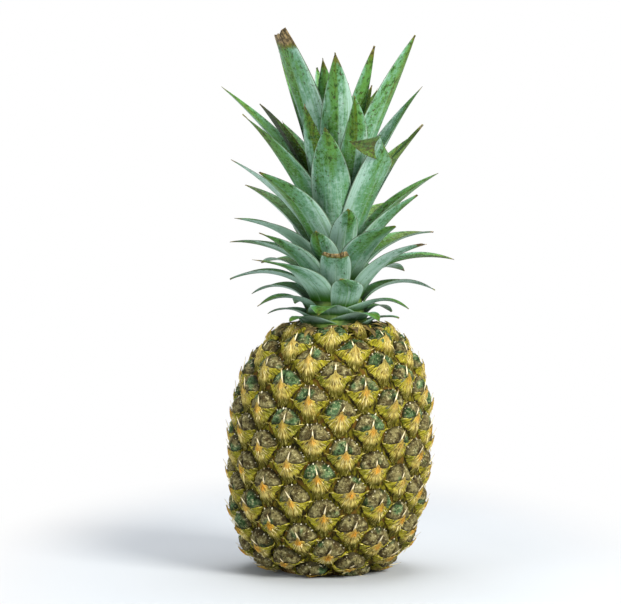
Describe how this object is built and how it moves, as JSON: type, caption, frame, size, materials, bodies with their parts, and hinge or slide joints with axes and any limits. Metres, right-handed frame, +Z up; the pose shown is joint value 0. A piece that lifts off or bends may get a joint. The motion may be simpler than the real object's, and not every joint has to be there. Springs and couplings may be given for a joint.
{
  "type": "pineapple",
  "caption": "Ripe whole pineapple standing on its cut base, with spiral rows of scaly fruitlets and a full crown of leaves",
  "frame": {"origin": "the middle of the cut base, on the surface that the fruit stands on", "axes": "+Z up through the fruit and its crown, -Y towards the view of the picture, +X to its right"},
  "size_m": [0.1393, 0.1348, 0.322],
  "materials": {
    "rind": "dry waxy rind, olive and yellow-brown, with grey-green caps and straw-coloured bracts",
    "cut_stalk": "dry fibrous cut",
    "crown_stem": "satin green, a little waxy",
    "crown_leaf": "satin blue-green under a thin whitish bloom, with dry brown tips"
  },
  "bodies": {
    "root": {"fruit": "rind", "cut_stalk": "cut_stalk", "crown_stem": "crown_stem", "crown_leaf_01": "crown_leaf", "crown_leaf_02": "crown_leaf", "crown_leaf_03": "crown_leaf", "crown_leaf_04": "crown_leaf", "crown_leaf_05": "crown_leaf", "crown_leaf_06": "crown_leaf", "crown_leaf_07": "crown_leaf", "crown_leaf_08": "crown_leaf", "crown_leaf_09": "crown_leaf", "crown_leaf_10": "crown_leaf", "crown_leaf_11": "crown_leaf", "crown_leaf_12": "crown_leaf", "crown_leaf_13": "crown_leaf", "crown_leaf_14": "crown_leaf", "crown_leaf_15": "crown_leaf", "crown_leaf_16": "crown_leaf", "crown_leaf_17": "crown_leaf", "crown_leaf_18": "crown_leaf", "crown_leaf_19": "crown_leaf", "crown_leaf_20": "crown_leaf", "crown_leaf_21": "crown_leaf", "crown_leaf_22": "crown_leaf", "crown_leaf_23": "crown_leaf", "crown_leaf_24": "crown_leaf", "crown_leaf_25": "crown_leaf", "crown_leaf_26": "crown_leaf", "crown_leaf_27": "crown_leaf", "crown_leaf_28": "crown_leaf", "crown_leaf_29": "crown_leaf", "crown_leaf_30": "crown_leaf", "crown_leaf_31": "crown_leaf", "crown_leaf_32": "crown_leaf", "crown_leaf_33": "crown_leaf", "crown_leaf_34": "crown_leaf", "crown_leaf_35": "crown_leaf", "crown_leaf_36": "crown_leaf", "crown_leaf_37": "crown_leaf", "crown_leaf_38": "crown_leaf", "crown_leaf_39": "crown_leaf", "crown_leaf_40": "crown_leaf", "crown_leaf_41": "crown_leaf", "crown_leaf_42": "crown_leaf", "crown_leaf_43": "crown_leaf", "crown_leaf_44": "crown_leaf", "crown_leaf_45": "crown_leaf", "crown_leaf_46": "crown_leaf", "crown_leaf_47": "crown_leaf", "crown_leaf_48": "crown_leaf", "crown_leaf_49": "crown_leaf", "crown_leaf_50": "crown_leaf", "crown_leaf_51": "crown_leaf", "crown_leaf_52": "crown_leaf", "crown_leaf_53": "crown_leaf", "crown_leaf_54": "crown_leaf", "crown_leaf_55": "crown_leaf"}
  },
  "joints": []
}
